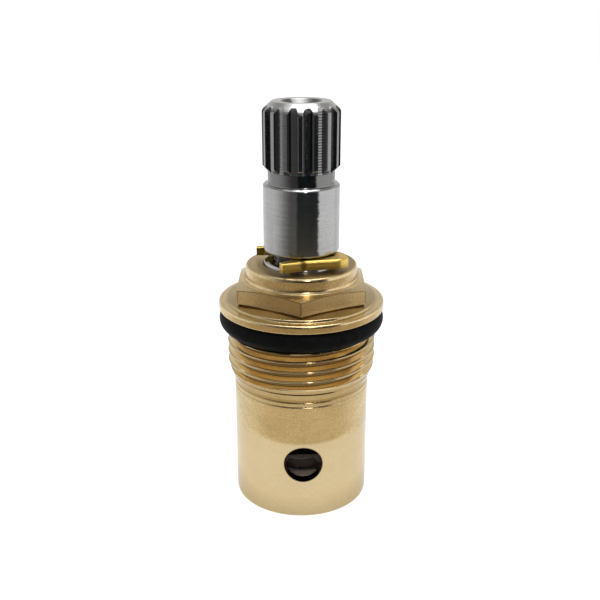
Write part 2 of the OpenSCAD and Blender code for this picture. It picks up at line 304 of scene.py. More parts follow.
def flange_profile():
    """Relief, flange and low round step up to the hexagon's foot."""
    return rounded([
        (RELIEF_R, RELIEF_Z, 0), (RELIEF_R, FLANGE_Z, 0.15), (FLANGE_R, FLANGE_Z, 0.12),
        (FLANGE_R, FLANGE_TOP_Z + 0.04, 0.3), (STEP_R + 0.42, FLANGE_TOP_Z + 0.14, 0.06),
        (STEP_R + 0.34, FLANGE_TOP_Z + 0.46, 0.1), (HEX_FLAT_R - 0.3, HEX_Z, 0)])


def collar_profile():
    """Land on the hexagon, collar, stem bore, chamber and back to the seat end."""
    return rounded([
        (HEX_LAND_R + 0.06, HEX_TOP_Z - 0.02, 0), (HEX_LAND_R, HEX_TOP_Z + 0.06, 0.06),
        (COLLAR_R + 0.26, HEX_TOP_Z + 0.06, 0.04), (COLLAR_R + 0.14, HEX_TOP_Z - 0.04, 0.04),
        (COLLAR_R - 0.06, HEX_TOP_Z + 0.2, 0.15), (COLLAR_R, COLLAR_TOP, 0.5),
        (STEM_BORE_R, COLLAR_TOP, 0.15), (STEM_BORE_R, SHOULDER_Z, 0), (POCKET_R, SHOULDER_Z, 0),
        (POCKET_R, CHAMBER_Z, 0), (SLEEVE_BORE_R, CHAMBER_Z, 0), (SLEEVE_BORE_R, SEAT_Z, 0)])


def make_body():
    """The brass body with its true thread, hexagon and ports."""
    angles = turned_angles(BODY_COLUMNS)
    bm = bmesh.new()
    add_rows(bm, [ring(angles, r, z) for r, z in sleeve_profile()])
    add_taper(bm, angles)
    add_thread(bm, angles)
    upper = [ring(angles, lambda a: thread_radius(a, RELIEF_Z), RELIEF_Z)]
    upper += [ring(angles, r, z) for r, z in flange_profile()]
    for inset, lift in ((0.22, 0), (0.22, 0.09), (0, 0.16)):
        upper.append(ring(angles, lambda a, inset=inset: hex_radius(a) - inset,
                          lambda a, lift=lift: hex_foot(a, lift)))
    upper.append(ring(angles, hex_radius, hex_top))
    upper += [ring(angles, r, z) for r, z in collar_profile()]
    add_rows(bm, upper)
    piece = finish_mesh(bm, "brass_body", merge=2e-7)
    cut_ports(piece)
    return piece


def make_port_cutter():
    """A drill for both ports."""
    bm = bmesh.new()
    angles = turned_angles(72)
    mouth = [(PORT_R, 0.0), (PORT_R, SLEEVE_R - 0.35), (PORT_R, SLEEVE_R + 0.4)]
    rows = [[(p[0], -y, PORT_Z + p[1]) for p in ring(angles, r, 0)] for r, y in mouth]
    loops = add_rows(bm, rows)
    bm.faces.new(loops[0])
    bm.faces.new(list(reversed(loops[-1])))
    return finish_mesh(bm, "port_cutter")


def cut_ports(piece):
    """Drills the two opposite ports through the sleeve."""
    for turn in (0, pi):
        cutter = make_port_cutter()
        cutter.rotation_euler = (0, 0, turn)
        drill = piece.modifiers.new("port", "BOOLEAN")
        drill.operation = "DIFFERENCE"
        drill.solver = "EXACT"
        drill.object = cutter
        bpy.context.view_layer.update()
        cut = bpy.data.meshes.new_from_object(piece.evaluated_get(bpy.context.evaluated_depsgraph_get()))
        piece.modifiers.clear()
        piece.data = cut
        bpy.data.objects.remove(cutter)
    piece.data.set_sharp_from_angle(angle=SHARP_ANGLE)


# Stem
def spline_columns():
    """Angles with extra columns at the edges of each tooth."""
    shares = (0.0, 0.1, 0.14, 0.155, 0.18, 0.205, 0.23, 0.255, 0.28, 0.3, 0.34, 0.42)
    offsets = sorted({s for share in shares for s in (share, 1 - share) if s < 1} | {0.5})
    start = SPLINE_TURN - pi / 2
    return [start + 2 * pi * (tooth + s) / TEETH for tooth in range(TEETH) for s in offsets]


def tooth_radius(a):
    """Radius of the spline at an angle: flat tips, steep flanks and rounded roots."""
    phase = abs(((a - SPLINE_TURN + pi / 2) * TEETH / (2 * pi) + 0.5) % 1 - 0.5)
    t = min(max((phase - TOOTH_TIP) / (TOOTH_ROOT - TOOTH_TIP), 0), 1)
    return SPLINE_R - (SPLINE_R - SPLINE_ROOT_R) * t


def spline_envelope(z):
    """Largest radius of the spline, with its long rounded crown chamfer and short lower one."""
    lower = SPLINE_ROOT_R + (z - SPLINE_Z)
    crown = SPLINE_R - SPLINE_CROWN + (STEM_TOP - z) * CROWN_SLOPE
    gap = max(CROWN_ROUND - abs(SPLINE_R - crown), 0)
    return min(lower, min(SPLINE_R, crown) - gap * gap / (4 * CROWN_ROUND))


def spline_rows(columns):
    """Rings of the spline from its foot to its crown."""
    foot = [SPLINE_Z + 0.75 * i / 8 for i in range(9)]
    crown_foot = STEM_TOP - (SPLINE_CROWN + CROWN_ROUND) / CROWN_SLOPE
    crown = [crown_foot + (STEM_TOP - crown_foot) * i / 20 for i in range(21)]
    rows = []
    for z in foot + crown:
        rows.append(ring(columns, lambda a, z=z: min(tooth_radius(a), spline_envelope(z)), z))
    return rows


def make_stem():
    """The turned steel stem with its spline, neck, shoulder and clip groove."""
    columns = spline_columns()
    lower = rounded([
        (0.05, THRUST_Z, 0), (THRUST_R, THRUST_Z, 0.2), (THRUST_R, THRUST_Z + THRUST_T, 0.2),
        (STEM_R, THRUST_Z + THRUST_T, 0), (STEM_R, GROOVE_Z, 0.6), (GROOVE_R, GROOVE_Z, 0.1),
        (GROOVE_R, UNDER_Z, 0.1), (STEM_R, UNDER_Z, 0.25), (STEM_R, NECK_Z - 0.3, 0.12),
        (STEM_R - 0.34, NECK_Z, 0.12), (NECK_R, NECK_Z, 0.1), (NECK_R, SPLINE_Z, 0)])
    top = rounded([
        (SPLINE_R - SPLINE_CROWN, STEM_TOP, 0), (SCREW_MOUTH_R, STEM_TOP, 0.1),
        (SCREW_R, STEM_TOP - 0.8, 0.05), (SCREW_R, STEM_TOP - SCREW_DEPTH, 0),
        (0.05, STEM_TOP - SCREW_DEPTH - 1, 0)])
    bm = bmesh.new()
    rows = [ring(columns, r, z) for r, z in lower] + spline_rows(columns)
    rows += [ring(columns, r, z) for r, z in top]
    loops = add_rows(bm, rows)
    bm.faces.new(list(reversed(loops[0])))
    bm.faces.new(loops[-1])
    add_tang(bm)
    return finish_mesh(bm, "steel_stem")


def add_tang(bm):
    """The flat tang under the thrust flange, rounded at its ends."""
    end = atan2(TANG_HALF_T, (TANG_R ** 2 - TANG_HALF_T ** 2) ** 0.5)
    arc = [-end + 2 * end * i / 10 for i in range(11)]
    outline = [(TANG_R * cos(a), TANG_R * sin(a)) for a in arc]
    outline += [(-x, -y) for x, y in outline]
    rows = [[(x * s, y * s, z) for x, y in outline]
            for s, z in ((0.95, TANG_Z), (1, TANG_Z + 0.25), (1, THRUST_Z + 0.05))]
    loops = add_rows(bm, rows)
    bm.faces.new(list(reversed(loops[0])))
    bm.faces.new(loops[-1])


# Clip, sizes in millimetres in its own plan
CLIP_TURN = radians(-2)
CLIP_IN = GROOVE_R + 0.15
CLIP_RING_W = 1.15
CLIP_W = 1.9
CLIP_SIDE = radians(-14)
EAR_REACH = 6.55
EAR_Y = 0.7
EAR_W = 1.3
ARM_TURN = radians(8.5)
ARM_START = -1.29
ARM_LEN = 6.9
ARM_SAG = 0.17
SAG_Y = (-2, -4)
TIP_RUN = -0.05
TIP_STEP = 0.65
TIP_LEN = 2.55
TIP_W = 1.0
TIP_FLARE = radians(27)
KINK_X = 0.12


def bent(corners):
    """Points along straight legs with round bends, from (point, bend, width) corners."""
    path = []
    for i, (p, reach, width) in enumerate(corners):
        if reach == 0:
            path.append((p, width))
            continue
        before = corners[i - 1][0] - p
        after = corners[i + 1][0] - p
        start = p + before.normalized() * reach
        end = p + after.normalized() * reach
        for k in range(7):
            t = k / 6
            path.append((start * (1 - t) ** 2 + p * 2 * t * (1 - t) + end * t ** 2, width))
    return path


def clip_path():
    """Middle line and width of the clip, from its square end round the back to the flared tip."""
    ring_mid = CLIP_IN + CLIP_RING_W / 2
    ear_mid = EAR_Y + EAR_W / 2
    turn = pi - asin(ear_mid / ring_mid) - 0.12
    steps = 36
    arc = [turn + (CLIP_SIDE - turn) * i / steps for i in range(steps + 1)]
    path = bent([(Vector((-EAR_REACH, ear_mid)), 0, EAR_W),
                 (Vector((-ring_mid, ear_mid)), 0.25, EAR_W),
                 (ring_mid * Vector((cos(arc[1]), sin(arc[1]))), 0, CLIP_RING_W)])
    path += [(ring_mid * Vector((cos(a), sin(a))), CLIP_RING_W) for a in arc[2:]]
    side = path[-1][0]
    arm = Vector((cos(ARM_TURN), sin(ARM_TURN)))
    kink = (CLIP_IN + 0.1 + CLIP_W / 2) * Vector((arm.y, -arm.x)) + ARM_START * arm
    corner = kink + ARM_LEN * arm
    root = kink - Vector((TIP_RUN, TIP_STEP))
    tip = root - TIP_LEN * Vector((cos(TIP_FLARE), sin(TIP_FLARE)))
    path += bent([(side, 0, CLIP_RING_W), (corner, 1.8, CLIP_W), (kink, 0, CLIP_W),
                  (root, 0, CLIP_W), (tip, 0, TIP_W)])[1:]
    return path


def clip_section(width):
    """Section of the clip's strip as (across, up) points, its upper edge well rounded outside."""
    w, t = width / 2, CLIP_T / 2
    inner, outer, sharp = 0.15, 0.45, 0.06
    arc = [radians(11.25 * i) for i in range(9)]
    inside = [(w - inner + inner * cos(a), t - inner + inner * sin(a)) for a in arc]
    outside = [(-w + outer - outer * cos(a), t - outer + outer * sin(a)) for a in reversed(arc)]
    return inside + outside + [(-w, -t + sharp), (-w + sharp, -t), (w - sharp, -t), (w, -t + sharp)]


def make_clip():
    """The flat brass clip, a strip along its middle line, mitred at its bends and deeper at its front."""
    path = clip_path()
    bm = bmesh.new()
    rows = []
    last = len(path) - 1
    for i, (p, width) in enumerate(path):
        legs = [(path[k + 1][0] - path[k][0]).normalized() for k in (i - 1, i) if 0 <= k < last]
        along = (legs[0] + legs[-1]).normalized()
        side = Vector((along.y, -along.x)) / along.dot(legs[0])
        sag = ARM_SAG * min(max((SAG_Y[0] - p.y) / (SAG_Y[0] - SAG_Y[1]), 0), 1)
        z = CLIP_Z + CLIP_T / 2
        rows.append([(p.x + side.x * w, p.y + side.y * w, z + h - (sag if h < 0 else 0))
                     for w, h in clip_section(width)])
    loops = add_rows(bm, rows)
    bm.faces.new(list(reversed(loops[0])))
    bm.faces.new(loops[-1])
    bmesh.ops.rotate(bm, verts=bm.verts, matrix=Matrix.Rotation(CLIP_TURN, 3, "Z"))
    return finish_mesh(bm, "brass_clip")


# Flange ring
def make_flange_ring():
    """The rubber ring under the flange."""
    angles = turned_angles(BODY_COLUMNS)
    section_r = RING_SECTION / 2
    middle = RING_OUT - section_r
    steps = 48
    bm = bmesh.new()
    rows = []
    for i in range(steps):
        t = 2 * pi * i / steps
        rows.append(ring(angles, middle + section_r * cos(t), RING_Z + section_r * sin(t)))
    add_rows(bm, rows, close=True)
    return finish_mesh(bm, "rubber_ring")


# Materials
def new_material(name):
    """A material with its node tree and principled shader."""
    material = bpy.data.materials.new(name)
    material.use_nodes = True
    return material, material.node_tree, material.node_tree.nodes["Principled BSDF"]


def add_node(tree, kind, **values):
    """A node with its properties or input values set by name."""
    node = tree.nodes.new(kind)
    for key, value in values.items():
        if key in node.inputs:
            node.inputs[key].default_value = value
        else:
            setattr(node, key, value)
    return node


def stretched_noise(tree, scale, detail=4.0, roughness=0.55):
    """Noise over object coordinates in metres, stretched by a scale on each axis."""
    coords = add_node(tree, "ShaderNodeTexCoord")
    mapping = add_node(tree, "ShaderNodeMapping")
    mapping.inputs["Scale"].default_value = scale
    noise = add_node(tree, "ShaderNodeTexNoise", Scale=1.0, Detail=detail, Roughness=roughness)
    tree.links.new(coords.outputs["Object"], mapping.inputs["Vector"])
    tree.links.new(mapping.outputs["Vector"], noise.inputs["Vector"])
    return noise


def ramp(tree, source, stops):
    """A colour ramp driven by a value, with (position, colour) stops."""
    node = add_node(tree, "ShaderNodeValToRGB")
    elements = node.color_ramp.elements
    while len(elements) < len(stops):
        elements.new(0.5)
    for element, (position, colour) in zip(elements, stops):
        element.position = position
        element.color = (*colour, 1)
    tree.links.new(source, node.inputs["Fac"])
    return node


def remap(tree, source, low, high):
    """A value stretched from 0..1 to low..high."""
    node = add_node(tree, "ShaderNodeMapRange")
    node.inputs["To Min"].default_value = low
    node.inputs["To Max"].default_value = high
    tree.links.new(source, node.inputs["Value"])
    return node


def bump(tree, shader, source, strength, distance):
    """Fine relief on a shader's normal."""
    node = add_node(tree, "ShaderNodeBump", Strength=strength, Distance=distance)
    tree.links.new(source, node.inputs["Height"])
    tree.links.new(node.outputs["Normal"], shader.inputs["Normal"])
    return node


def turned_metal(name, dark, light, rough, lines, turned=0.5, satin=()):
    """Metal with patches of tone, speckle and the lines of turning round the Z axis.

    Turned is the share of the lines in tone and relief. Satin lists added
    roughness as (amount, height where it starts, height where it is all there).
    """
    material, tree, shader = new_material(name)
    patches = stretched_noise(tree, (260, 260, 420), detail=6.0)
    turning = stretched_noise(tree, (60, 60, lines), detail=5.0, roughness=0.7)
    speckle = stretched_noise(tree, (3200, 3200, 3200), detail=2.0)
    broad = product(tree, patches.outputs["Fac"], 0.5)
    rest = maths(tree, "MULTIPLY_ADD", speckle.outputs["Fac"], 0.5, broad)
    mixed = maths(tree, "MULTIPLY_ADD", turning.outputs["Fac"], turned, product(tree, rest, 1 - turned))
    tone = ramp(tree, mixed, [(0.35, dark), (0.65, light)])
    tree.links.new(tone.outputs["Color"], shader.inputs["Base Color"])
    coords = add_node(tree, "ShaderNodeTexCoord")
    split = add_node(tree, "ShaderNodeSeparateXYZ")
    tree.links.new(coords.outputs["Object"], split.inputs[0])
    gloss = remap(tree, turning.outputs["Fac"], rough[0], rough[1]).outputs["Result"]
    for amount, low, high in satin:
        part = band(tree, split.outputs["Z"], low, high)
        gloss = maths(tree, "MULTIPLY_ADD", part, amount, gloss)
    tree.links.new(gloss, shader.inputs["Roughness"])
    relief = bump(tree, shader, mixed, 0.35, 0.000004)
    shader.inputs["Metallic"].default_value = 1.0
    if turned > 0.3:
        tangent = add_node(tree, "ShaderNodeTangent", direction_type="RADIAL", axis="Z")
        tree.links.new(tangent.outputs["Tangent"], shader.inputs["Tangent"])
        tree.links.new(chatter(tree, tangent.outputs["Tangent"], 0.1), relief.inputs["Normal"])
        shader.inputs["Anisotropic"].default_value = turned
        shader.inputs["Anisotropic Rotation"].default_value = 0.25
    return material


def chatter(tree, tangent, amount):
    """Normals that sway sideways from one feed line of the turning tool to the next."""
    sway = stretched_noise(tree, (300, 300, 3800), detail=1.0)
    offset = product(tree, maths(tree, "SUBTRACT", sway.outputs["Fac"], 0.5), amount)
    side = add_node(tree, "ShaderNodeVectorMath", operation="SCALE")
    total = add_node(tree, "ShaderNodeVectorMath", operation="ADD")
    unit = add_node(tree, "ShaderNodeVectorMath", operation="NORMALIZE")
    surface = add_node(tree, "ShaderNodeNewGeometry")
    tree.links.new(tangent, side.inputs[0])
    tree.links.new(offset, side.inputs["Scale"])
    tree.links.new(surface.outputs["Normal"], total.inputs[0])
    tree.links.new(side.outputs["Vector"], total.inputs[1])
    tree.links.new(total.outputs["Vector"], unit.inputs[0])
    return unit.outputs["Vector"]


def ranged(tree, source, low, high):
    """0 at low, 1 at high, smooth between."""
    node = add_node(tree, "ShaderNodeMapRange", interpolation_type="SMOOTHSTEP")
    node.inputs["From Min"].default_value = low
    node.inputs["From Max"].default_value = high
    tree.links.new(source, node.inputs["Value"])
    return node.outputs["Result"]


def band(tree, source, low, high):
    """0 at low, 1 at high, smooth between, for a length with its ends in millimetres."""
    return ranged(tree, source, low * MM, high * MM)


def maths(tree, operation, *sources):
    """A maths node over sockets or numbers."""
    node = add_node(tree, "ShaderNodeMath", operation=operation)
    for socket, source in zip(node.inputs, sources):
        if isinstance(source, (int, float)):
            socket.default_value = source
        else:
            tree.links.new(source, socket)
    return node.outputs[0]


def product(tree, first, *others):
    """Sockets or numbers multiplied together."""
    for other in others:
        first = maths(tree, "MULTIPLY", first, other)
    return first


def tint(material, colour, region, share=1.0):
    """Mixes a share of another colour into a material's own, by a mask over x, y, radius and height."""
    tree = material.node_tree
    shader = tree.nodes["Principled BSDF"]
    tone = shader.inputs["Base Color"].links[0].from_socket
    coords = add_node(tree, "ShaderNodeTexCoord")
    split = add_node(tree, "ShaderNodeSeparateXYZ")
    flat = add_node(tree, "ShaderNodeVectorMath", operation="MULTIPLY")
    flat.inputs[1].default_value = (1, 1, 0)
    radius = add_node(tree, "ShaderNodeVectorMath", operation="LENGTH")
    tree.links.new(coords.outputs["Object"], split.inputs[0])
    tree.links.new(coords.outputs["Object"], flat.inputs[0])
    tree.links.new(flat.outputs["Vector"], radius.inputs[0])
    x, y, height = (split.outputs[axis] for axis in "XYZ")
    shade = product(tree, region(tree, x, y, radius.outputs["Value"], height), share)
    mix = add_node(tree, "ShaderNodeMix", data_type="RGBA")
    mix.inputs[7].default_value = (*colour, 1)
    tree.links.new(shade, mix.inputs[0])
    tree.links.new(tone, mix.inputs[6])
    tree.links.new(mix.outputs[2], shader.inputs["Base Color"])


# Where painted shades start and where they are all there, in millimetres
HEX_SHADE_X = (9, 4)
STEP_RIGHT_X = (1, 7)
STEP_LEFT_X = (-4, -8)
LAND_RIGHT_X = (3, 6)
GROOVE_SHADE_X = (-3.0, -4.2)
CLIP_FRONT_Y = (-4.3, -4.8)
EAR_X = (-5.2, -5.6)


def near(tree, source, place, half):
    """1 at a place on a length, 0 beyond half a width from it."""
    off = maths(tree, "ABSOLUTE", maths(tree, "SUBTRACT", source, place * MM))
    return band(tree, off, half, half * 0.7)


def in_thread(tree, height, start):
    """1 from a rise above the taper's foot to the flange."""
    above = band(tree, height, TAPER_Z + start, TAPER_Z + start + 0.4)
    below = band(tree, height, FLANGE_Z + 0.1, FLANGE_Z - 0.1)
    return product(tree, above, below)


def painted_light_thread_flanks(tree, x, y, radius, height):
    """Painted light on the flanks of the thread, brighter towards the crests and the lower turns."""
    out = band(tree, radius, THREAD_R - 0.8, THREAD_R - 0.35)
    low = band(tree, height, RELIEF_Z + 0.6, TAPER_Z + 2.5)
    return product(tree, out, low, in_thread(tree, height, 1.5))


def painted_shade_taper_zone(tree, x, y, radius, height):
    """Painted shade on the foot of the thread's taper."""
    return near(tree, height, TAPER_Z + 0.5, 1.3)


def painted_shade_collar_land(tree, x, y, radius, height):
    """Painted shade on the flat top of the collar."""
    return band(tree, height, COLLAR_TOP - 0.06, COLLAR_TOP - 0.02)


def painted_sheen_lower_sleeve(tree, x, y, radius, height):
    """Painted sheen: a paler, evener colour on the sleeve round the ports."""
    return band(tree, height, SLEEVE_SHEEN_Z + 0.3, SLEEVE_SHEEN_Z - 0.3)


def painted_shade_hex_sides(tree, x, y, radius, height):
    """Painted shade on the sides of the hexagon, darkest beside the front and rear corners."""
    above = band(tree, height, HEX_Z - 0.2, HEX_Z)
    outside = band(tree, radius, HEX_FLAT_R - 0.04, HEX_FLAT_R - 0.02)
    front = band(tree, maths(tree, "ABSOLUTE", x), *HEX_SHADE_X)
    left = band(tree, x, 2, -2)
    return product(tree, above, outside, front, maths(tree, "MULTIPLY_ADD", left, 0.06, 0.46))


def painted_shade_flange_top(tree, x, y, radius, height):
    """Painted shade on the step by the hexagon's foot, left and right, and on the collar's land at right.
    """
    inner = band(tree, radius, STEP_R + 0.8, STEP_R + 0.2)
    above = band(tree, height, FLANGE_TOP_Z - 0.3, FLANGE_TOP_Z - 0.1)
    below = band(tree, height, HEX_Z + 0.02, HEX_Z - 0.02)
    sides = maths(tree, "MAXIMUM", band(tree, x, *STEP_RIGHT_X), band(tree, x, *STEP_LEFT_X))
    land = product(tree, painted_shade_collar_land(tree, x, y, radius, height), band(tree, x, *LAND_RIGHT_X))
    return maths(tree, "MAXIMUM", product(tree, sides, inner, above, below), land)


def hex_edges(tree, x, y, radius, height):
    """Thin dark lines along the top and the corners of the hexagon."""
    on_cone = maths(tree, "MULTIPLY_ADD", radius, HEX_SLOPE, height)
    cone = HEX_TOP_Z + HEX_LAND_R * HEX_SLOPE
    top = near(tree, on_cone, cone - 0.07, 0.07)
    turn = maths(tree, "SUBTRACT", maths(tree, "ARCTAN2", y, x), FRONT)
    off_corner = maths(tree, "PINGPONG", product(tree, turn, 3 / pi), 0.5)
    corner = ranged(tree, off_corner, 0.013, 0.007)
    above = band(tree, height, HEX_Z + 0.1, HEX_Z + 0.2)
    below = band(tree, on_cone, cone - 0.004, cone - 0.02)
    outside = band(tree, radius, HEX_FLAT_R - 0.04, HEX_FLAT_R - 0.02)
    return product(tree, maths(tree, "MAXIMUM", top, corner), outside, above, below)


def painted_shade_body_hollows(tree, x, y, radius, height):
    """Painted shade in the thread's roots and crests, the fine turned lines and round the port edges."""
    deep = band(tree, radius, THREAD_R - 0.76, THREAD_R - 0.92)
    crest = product(tree, near(tree, radius, THREAD_R - 0.05, 0.2), 0.36)
    turns = maths(tree, "MAXIMUM", product(tree, deep, 0.8), crest)
    shade = product(tree, turns, in_thread(tree, height, 1.3))
    for rise in LINE_RISES:
        line = product(tree, near(tree, height, TAPER_Z + rise, LINE_HALF), 0.25)
        shade = maths(tree, "MAXIMUM", shade, line)
    up = maths(tree, "SUBTRACT", height, PORT_Z * MM)
    from_port = maths(tree, "SQRT", maths(tree, "MULTIPLY_ADD", x, x, product(tree, up, up)))
    port = band(tree, from_port, PORT_R + 0.14, PORT_R + 0.01)
    return maths(tree, "MAXIMUM", shade, product(tree, port, 0.7))


def painted_sheen_crown(tree, x, y, radius, height):
    """Painted sheen: a lighter colour on the stem's crown."""
    return band(tree, height, STEM_TOP - 1.3, STEM_TOP - 1.0)


def painted_shade_stem_hollows(tree, x, y, radius, height):
    """Painted shade over the spline, deepest on the flanks, and on the neck, screw hole and clip groove."""
    off_tip = band(tree, radius, SPLINE_R - 0.04, SPLINE_R - 0.2)
    off_root = band(tree, radius, SPLINE_ROOT_R + 0.02, SPLINE_ROOT_R + 0.15)
    below_crown = band(tree, height, STEM_TOP - 0.5, STEM_TOP - 1.1)
    above_neck = band(tree, height, SPLINE_Z + 0.05, SPLINE_Z + 0.2)
    spline_shade = maths(tree, "MULTIPLY_ADD", product(tree, off_tip, off_root), 0.22, 0.38)
    shade = product(tree, spline_shade, below_crown, above_neck)
    near_neck = band(tree, height, NECK_Z + 0.02, NECK_Z + 0.1)
    neck = product(tree, near_neck, maths(tree, "SUBTRACT", 1.0, above_neck), 0.55)
    under = band(tree, height, UNDER_Z + 0.02, UNDER_Z - 0.02)
    inside = band(tree, radius, STEM_R - 0.02, STEM_R - 0.3)
    # Painted shade in the clip groove, lighter towards its left.
    groove_shade = maths(tree, "SUBTRACT", 0.92, product(tree, band(tree, x, *GROOVE_SHADE_X), 0.8))
    in_hole = band(tree, radius, SCREW_MOUTH_R + 0.02, SCREW_MOUTH_R - 0.1)
    hole = product(tree, in_hole, band(tree, height, NECK_Z, SPLINE_Z), 0.6)
    for part in (neck, hole, product(tree, under, inside, groove_shade)):
        shade = maths(tree, "MAXIMUM", shade, part)
    return shade


def feed_marks_with_painted_shade(tree, x, y, radius, height):
    """A ladder of feed marks in the spline's grooves, clearest in one right of the front."""
    wave = maths(tree, "SINE", product(tree, height, 2 * pi / (MARK_STEP * MM)))
    groove = band(tree, radius, SPLINE_R - 0.05, SPLINE_R - 0.15)
    above_neck = band(tree, height, SPLINE_Z + 0.05, SPLINE_Z + 0.2)
    below_crown = band(tree, height, STEM_TOP - 0.5, STEM_TOP - 1.0)
    # Marks are drawn in every groove; the deeper ladder in one groove right of the front is painted shade
    # where light shows them.
    clear = product(tree, near(tree, x, MARK_X, 0.5), band(tree, y, 0, -3))
    depth = maths(tree, "MULTIPLY_ADD", clear, 0.55, 0.14)
    return product(tree, ranged(tree, wave, -0.3, 0.5), depth, groove, above_neck, below_crown)


def painted_shade_clip(tree, x, y, radius, height):
    """Painted shade at the kink and lower edge of the clip's front, and on the sides of its square end."""
    front = band(tree, y, *CLIP_FRONT_Y)
    off_kink = maths(tree, "ABSOLUTE", maths(tree, "SUBTRACT", x, KINK_X * MM))
    kink = product(tree, band(tree, off_kink, 0.7, 0.05), 0.8)
    low = product(tree, band(tree, height, CLIP_Z + 0.5, CLIP_Z + 0.1), 0.4)
    below_top = band(tree, height, CLIP_Z + CLIP_T - 0.02, CLIP_Z + CLIP_T - 0.12)
    ear = product(tree, band(tree, x, *EAR_X), 0.72, below_top)
    return maths(tree, "MAXIMUM", product(tree, front, maths(tree, "MAXIMUM", kink, low)), ear)


def painted_shade_disc_walls(tree, x, y, radius, height):
    """Painted shade on the rotating disc under its top: the walls of its windows and slot, and its side."""
    return band(tree, height, DISC_TOP - 0.02, DISC_TOP - 0.1)


def grained(name, dark, light, rough, grain, specular=0.5, relief=0.00001):
    """Rubber, plastic or ceramic with a fine grain and slight tone."""
    material, tree, shader = new_material(name)
    noise = stretched_noise(tree, (grain, grain, grain), detail=5.0)
    tone = ramp(tree, noise.outputs["Fac"], [(0.3, dark), (0.7, light)])
    tree.links.new(tone.outputs["Color"], shader.inputs["Base Color"])
    gloss = remap(tree, noise.outputs["Fac"], rough[0], rough[1])
    tree.links.new(gloss.outputs["Result"], shader.inputs["Roughness"])
    bump(tree, shader, noise.outputs["Fac"], 0.3, relief)
    shader.inputs["Specular IOR Level"].default_value = specular
    return material


def paint(piece, material):
    """Gives an object one material."""
    piece.data.materials.clear()
    piece.data.materials.append(material)


def line_satin():
    """Added roughness in the fine turned lines of the sleeve."""
    steps = []
    for rise in LINE_RISES:
        z = TAPER_Z + rise
        steps += [(0.14, z - LINE_HALF - 0.02, z - LINE_HALF), (-0.14, z + LINE_HALF, z + LINE_HALF + 0.02)]
    return steps


body_brass = turned_metal("body_brass", (0.53, 0.408, 0.214), (0.76, 0.592, 0.33), (0.05, 0.09), 9000, 0.1,
                          [(0.14, TAPER_Z, FLANGE_Z), (0.22, COLLAR_TOP - 0.1, COLLAR_TOP - 0.02)]
                          + line_satin())
tint(body_brass, (0.3, 0.2, 0.08), painted_shade_hex_sides)
tint(body_brass, (0.68, 0.54, 0.315), painted_sheen_lower_sleeve, 0.75)
tint(body_brass, (0.76, 0.585, 0.32), painted_light_thread_flanks)
tint(body_brass, (0.29, 0.16, 0.018), painted_shade_taper_zone, 0.5)
tint(body_brass, (0.5, 0.38, 0.2), painted_shade_collar_land)
tint(body_brass, (0.24, 0.16, 0.05), painted_shade_flange_top, 0.6)
tint(body_brass, (0.14, 0.085, 0.035), hex_edges, 0.6)
tint(body_brass, (0.1, 0.055, 0.02), painted_shade_body_hollows)
clip_brass = turned_metal("clip_brass", (0.7, 0.49, 0.115), (0.82, 0.585, 0.15), (0.26, 0.38), 1500, 0.2)
tint(clip_brass, (0.1, 0.06, 0.01), painted_shade_clip)
stem_steel = turned_metal("stem_steel", (0.34, 0.34, 0.34), (0.44, 0.44, 0.435), (0.14, 0.22), 12000, 0.5,
                          [(0.1, STEM_TOP - 1.5, STEM_TOP - 1.0)])
tint(stem_steel, (0.52, 0.52, 0.515), painted_sheen_crown)
tint(stem_steel, (0.012, 0.012, 0.012), painted_shade_stem_hollows)
tint(stem_steel, (0.02, 0.02, 0.02), feed_marks_with_painted_shade)
seal_rubber = grained("seal_rubber", (0.003, 0.003, 0.003), (0.006, 0.006, 0.006), (0.4, 0.55), 900, 0.03)
low_friction_plastic = grained(
    "low_friction_plastic", (0.78, 0.78, 0.75), (0.86, 0.86, 0.83), (0.4, 0.6), 700)
ring_plastic = grained("ring_plastic", (0.66, 0.66, 0.63), (0.74, 0.74, 0.71), (0.35, 0.5), 700)
# Light brown for a dark ceramic: painted light on the rotating disc's top, with painted shade below it.
dark_ceramic = grained("dark_ceramic", (0.4, 0.315, 0.255), (0.46, 0.365, 0.3), (0.5, 0.6), 1600)
tint(dark_ceramic, (0.05, 0.035, 0.027), painted_shade_disc_walls, 0.85)
white_ceramic = grained("white_ceramic", (0.74, 0.72, 0.66), (0.84, 0.82, 0.77), (0.16, 0.28), 1600)


# Pieces on their bodies
def place(piece, node, body, material_slot, material):
    """A detailed piece that stands for one CAD node."""
    paint(piece, material)
    normals = piece.modifiers.new("normals", "WEIGHTED_NORMAL")
    normals.mode = "FACE_AREA"
    normals.weight = 80
    normals.keep_sharp = True
    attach(piece, body)
    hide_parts(node)


place(make_body(), "bonnet_body", "body", "body_brass", body_brass)
place(make_stem(), "stem", "rotor", "stem_steel", stem_steel)
place(make_clip(), "retaining_clip", "rotor", "clip_brass", clip_brass)
place(make_flange_ring(), "flange_o_ring", "body", "seal_rubber", seal_rubber)
for node_name, material in {
        "stem_o_ring_upper": seal_rubber, "stem_o_ring_lower": seal_rubber, "seat_seal": seal_rubber,
        "thrust_washer": low_friction_plastic, "seal_support_ring": ring_plastic,
        "rotating_disc": dark_ceramic, "fixed_disc": white_ceramic}.items():
    paint(nodes[node_name], material)


# Stage: pale floor, cards that only reflections see, soft lamps
def background_rays(tree):
    """1 for camera, glossy and transmission rays, which see the plain white background."""
    path = add_node(tree, "ShaderNodeLightPath")
    total = path.outputs["Is Camera Ray"]
    for name in ("Is Glossy Ray", "Is Transmission Ray"):
        total = maths(tree, "MAXIMUM", total, path.outputs[name])
    return total


